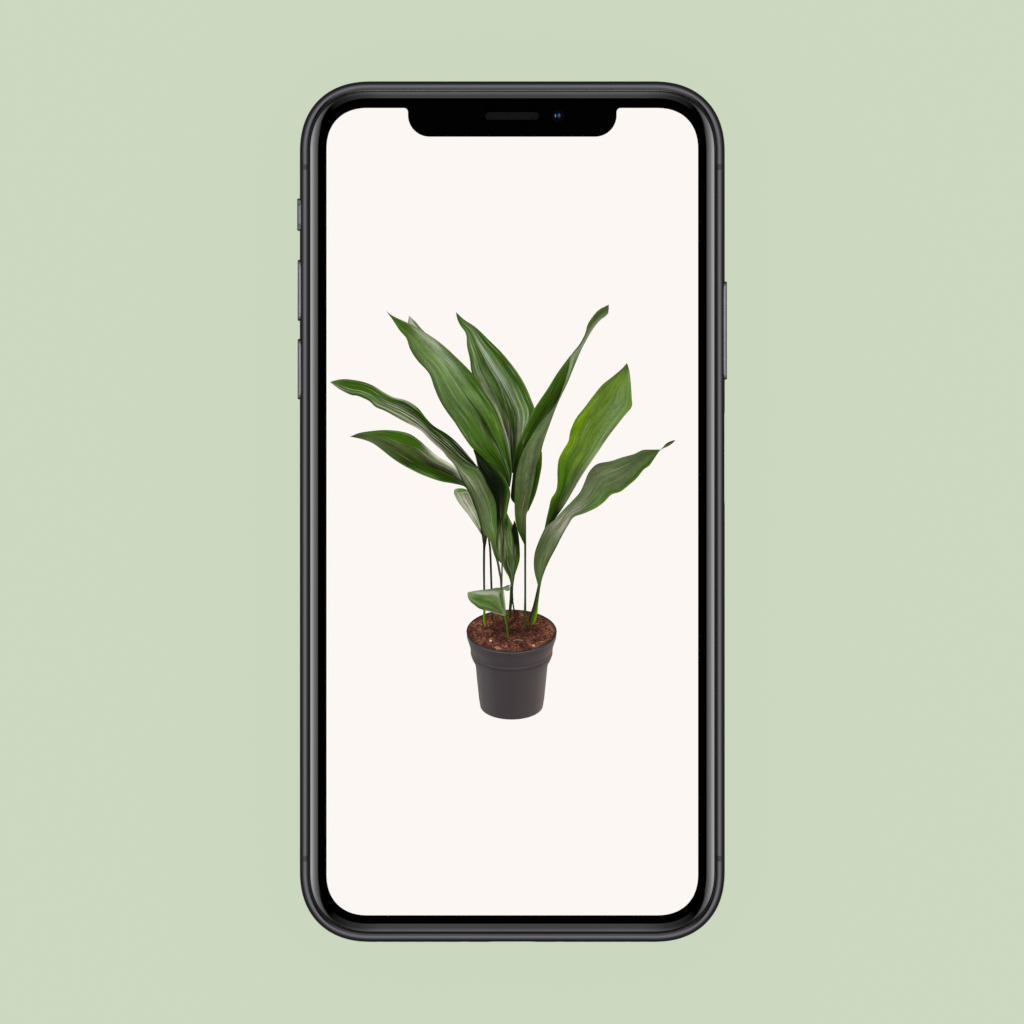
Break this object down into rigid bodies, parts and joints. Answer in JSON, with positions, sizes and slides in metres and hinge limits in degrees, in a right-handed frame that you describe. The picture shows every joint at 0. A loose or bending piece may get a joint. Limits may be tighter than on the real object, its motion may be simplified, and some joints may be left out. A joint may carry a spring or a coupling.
{
  "type": "smartphone",
  "caption": "Slim smartphone lying screen up, with a rounded steel band, curved-edge cover glass over a notched lit screen, press buttons on both sides and a rear camera plateau.",
  "frame": {"origin": "under the middle of the body, level with the face of the rear camera plateau, which is the lowest point", "axes": "+X to the right of the screen, +Y up the screen towards the notch, +Z out of the screen"},
  "size_m": [0.0717, 0.1436, 0.0086],
  "materials": {
    "steel": "polished steel with a dark grey coat",
    "antenna_plastic": "satin dark grey plastic flush with the steel",
    "cover_glass": "clear polished glass with curved edges",
    "back_glass": "polished glass over a dark grey coat",
    "black_plastic": "black moulded plastic",
    "screen": "lit panel showing a picture of a house plant on off-white",
    "lens_glass": "coated dark lens glass",
    "mesh_metal": "black woven mesh",
    "battery_foil": "black laminated pouch",
    "circuit_board": "dark green solder mask",
    "inner_steel": "plain rolled steel",
    "copper": "flat wound copper",
    "flash_lens": "pale yellow diffusing lens"
  },
  "bodies": {
    "case": {"steel_band_top": "steel", "steel_band_left": "steel", "steel_band_right": "steel", "steel_band_bottom": "steel", "antenna_insert_upper_left": "antenna_plastic", "antenna_insert_upper_right": "antenna_plastic", "antenna_insert_lower_left": "antenna_plastic", "antenna_insert_lower_right": "antenna_plastic", "cover_glass": "cover_glass", "back_glass": "back_glass", "display_panel": "screen", "display_frame": "black_plastic", "sensor_bracket": "inner_steel", "earpiece_mesh": "mesh_metal", "earpiece_speaker": "black_plastic", "front_camera": "black_plastic", "infrared_camera": "black_plastic", "dot_projector": "black_plastic", "volume_switch_board": "circuit_board", "ring_switch_board": "circuit_board", "side_switch_board": "circuit_board", "card_reader": "inner_steel", "charging_port": "inner_steel", "case_screw_left": "steel", "case_screw_right": "steel", "loudspeaker": "black_plastic", "vibration_motor": "inner_steel", "back_plate": "inner_steel", "charging_coil": "copper", "camera_plateau": "steel", "lens_cover_wide": "lens_glass", "lens_cover_long": "lens_glass", "rear_camera_wide": "black_plastic", "rear_camera_long": "black_plastic", "flash_cover": "flash_lens", "flash_lamp": "flash_lens", "battery_main": "battery_foil", "battery_lower": "battery_foil", "logic_board": "circuit_board", "board_shield_upper": "inner_steel", "board_shield_lower": "inner_steel", "radio_module": "inner_steel", "upper_flex": "circuit_board"},
    "volume_up": {"volume_up_button": "steel"},
    "volume_down": {"volume_down_button": "steel"},
    "side_key": {"side_button": "steel"},
    "ring_slider": {"ring_switch": "steel"},
    "tray": {"card_tray": "steel"}
  },
  "joints": [
    {"name": "volume_up_press", "type": "slide", "parent": "case", "child": "volume_up", "axis": [1, 0, 0], "range_m": [0, 0.00025], "stiffness_N_per_m": 2000, "springref_m": -0.0005},
    {"name": "volume_down_press", "type": "slide", "parent": "case", "child": "volume_down", "axis": [1, 0, 0], "range_m": [0, 0.00025], "stiffness_N_per_m": 2000, "springref_m": -0.0005},
    {"name": "side_button_press", "type": "slide", "parent": "case", "child": "side_key", "axis": [-1, 0, 0], "range_m": [0, 0.00025], "stiffness_N_per_m": 2000, "springref_m": -0.0005},
    {"name": "ring_switch_slide", "type": "slide", "parent": "case", "child": "ring_slider", "axis": [0, 0, -1], "range_m": [0, 0.0008]},
    {"name": "card_tray_slide", "type": "slide", "parent": "case", "child": "tray", "axis": [1, 0, 0], "range_m": [0, 0.022]}
  ]
}
